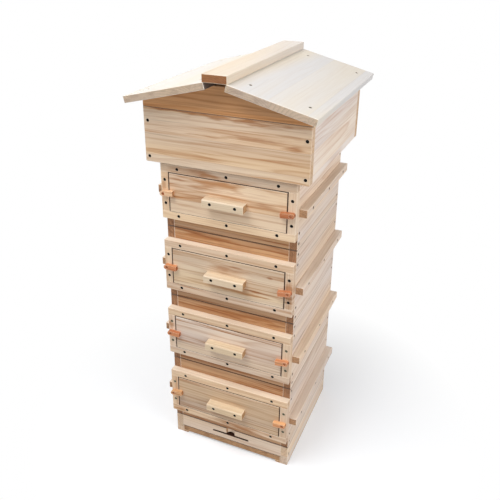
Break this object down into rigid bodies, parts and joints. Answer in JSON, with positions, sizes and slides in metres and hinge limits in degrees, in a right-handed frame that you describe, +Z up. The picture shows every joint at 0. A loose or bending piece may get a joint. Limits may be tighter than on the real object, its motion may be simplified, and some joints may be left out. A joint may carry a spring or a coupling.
{
  "type": "vertical top bar beehive",
  "caption": "Stacked wooden beehive with shuttered window boxes, turn buttons, hand-hold battens, a base with an entrance slot and a gabled roof with a ridge cap.",
  "frame": {"origin": "middle of the hive's footprint, on the ground", "axes": "+Z up, the windows and the entrance face -Y, +X to the right of someone facing them"},
  "size_m": [0.4462, 0.484, 1.0631],
  "materials": {
    "box_wood": "planed, untreated",
    "frame_wood": "planed, untreated",
    "shutter_wood": "planed, untreated",
    "handle_wood": "planed, untreated",
    "batten_wood": "planed, untreated",
    "button_wood": "planed, untreated",
    "top_bar_wood": "planed, untreated",
    "base_wood": "planed, untreated",
    "quilt_wood": "planed, untreated",
    "roof_wood": "planed, untreated",
    "roof_panel_wood": "planed, untreated",
    "screw_steel": "black oxide, satin",
    "window_glass": "clear",
    "quilt_fabric": "coarse jute weave"
  },
  "bodies": {
    "base": {"base_side_boards": "base_wood", "base_front_board": "base_wood", "base_back_board": "base_wood", "base_runners": "base_wood", "base_screws": "screw_steel"},
    "floor": {"base_floor": "base_wood"},
    "box_4": {"box_4_side_boards": "box_wood", "box_4_end_boards": "box_wood", "box_4_window_pane": "window_glass", "box_4_window_frame": "frame_wood", "box_4_shutter": "shutter_wood", "box_4_shutter_handle": "handle_wood", "box_4_battens": "batten_wood", "box_4_top_bars": "top_bar_wood", "box_4_screws": "screw_steel"},
    "box_4_button_left": {"box_4_turn_button_left": "button_wood"},
    "box_4_button_right": {"box_4_turn_button_right": "button_wood"},
    "box_3": {"box_3_side_boards": "box_wood", "box_3_end_boards": "box_wood", "box_3_window_pane": "window_glass", "box_3_window_frame": "frame_wood", "box_3_shutter": "shutter_wood", "box_3_shutter_handle": "handle_wood", "box_3_battens": "batten_wood", "box_3_top_bars": "top_bar_wood", "box_3_screws": "screw_steel"},
    "box_3_button_left": {"box_3_turn_button_left": "button_wood"},
    "box_3_button_right": {"box_3_turn_button_right": "button_wood"},
    "box_2": {"box_2_side_boards": "box_wood", "box_2_end_boards": "box_wood", "box_2_window_pane": "window_glass", "box_2_window_frame": "frame_wood", "box_2_shutter": "shutter_wood", "box_2_shutter_handle": "handle_wood", "box_2_battens": "batten_wood", "box_2_top_bars": "top_bar_wood", "box_2_screws": "screw_steel"},
    "box_2_button_left": {"box_2_turn_button_left": "button_wood"},
    "box_2_button_right": {"box_2_turn_button_right": "button_wood"},
    "box_1": {"box_1_side_boards": "box_wood", "box_1_end_boards": "box_wood", "box_1_window_pane": "window_glass", "box_1_window_frame": "frame_wood", "box_1_shutter": "shutter_wood", "box_1_shutter_handle": "handle_wood", "box_1_battens": "batten_wood", "box_1_top_bars": "top_bar_wood", "box_1_screws": "screw_steel"},
    "box_1_button_left": {"box_1_turn_button_left": "button_wood"},
    "box_1_button_right": {"box_1_turn_button_right": "button_wood"},
    "quilt": {"quilt_boards": "quilt_wood", "quilt_cloth": "quilt_fabric", "quilt_screws": "screw_steel"},
    "roof": {"roof_end_boards": "roof_wood", "roof_side_boards": "roof_wood", "roof_gables": "roof_wood", "roof_panels": "roof_panel_wood", "roof_ridge_cap": "roof_panel_wood", "roof_inner_board": "roof_wood", "roof_screws": "screw_steel"}
  },
  "joints": [
    {"name": "floor_slide", "type": "slide", "parent": "base", "child": "floor", "axis": [0, -1, 0], "range_m": [0, 0.28]},
    {"name": "box_4_lift", "type": "slide", "parent": "base", "child": "box_4", "axis": [0, 0, 1], "range_m": [0, 0.12]},
    {"name": "box_4_button_left_turn", "type": "hinge", "parent": "box_4", "child": "box_4_button_left", "pos_m": [-0.16, -0.1892, 0.161], "axis": [0, 1, 0], "continuous": true},
    {"name": "box_4_button_right_turn", "type": "hinge", "parent": "box_4", "child": "box_4_button_right", "pos_m": [0.16, -0.1892, 0.161], "axis": [0, 1, 0], "continuous": true},
    {"name": "box_3_lift", "type": "slide", "parent": "box_4", "child": "box_3", "axis": [0, 0, 1], "range_m": [0, 0.12]},
    {"name": "box_3_button_left_turn", "type": "hinge", "parent": "box_3", "child": "box_3_button_left", "pos_m": [-0.16, -0.1892, 0.361], "axis": [0, 1, 0], "continuous": true},
    {"name": "box_3_button_right_turn", "type": "hinge", "parent": "box_3", "child": "box_3_button_right", "pos_m": [0.16, -0.1892, 0.361], "axis": [0, 1, 0], "continuous": true},
    {"name": "box_2_lift", "type": "slide", "parent": "box_3", "child": "box_2", "axis": [0, 0, 1], "range_m": [0, 0.12]},
    {"name": "box_2_button_left_turn", "type": "hinge", "parent": "box_2", "child": "box_2_button_left", "pos_m": [-0.16, -0.1892, 0.561], "axis": [0, 1, 0], "continuous": true},
    {"name": "box_2_button_right_turn", "type": "hinge", "parent": "box_2", "child": "box_2_button_right", "pos_m": [0.16, -0.1892, 0.561], "axis": [0, 1, 0], "continuous": true},
    {"name": "box_1_lift", "type": "slide", "parent": "box_2", "child": "box_1", "axis": [0, 0, 1], "range_m": [0, 0.12]},
    {"name": "box_1_button_left_turn", "type": "hinge", "parent": "box_1", "child": "box_1_button_left", "pos_m": [-0.16, -0.1892, 0.761], "axis": [0, 1, 0], "continuous": true},
    {"name": "box_1_button_right_turn", "type": "hinge", "parent": "box_1", "child": "box_1_button_right", "pos_m": [0.16, -0.1892, 0.761], "axis": [0, 1, 0], "continuous": true},
    {"name": "quilt_lift", "type": "slide", "parent": "box_1", "child": "quilt", "axis": [0, 0, 1], "range_m": [0, 0.12]},
    {"name": "roof_lift", "type": "slide", "parent": "quilt", "child": "roof", "axis": [0, 0, 1], "range_m": [0, 0.2]}
  ]
}
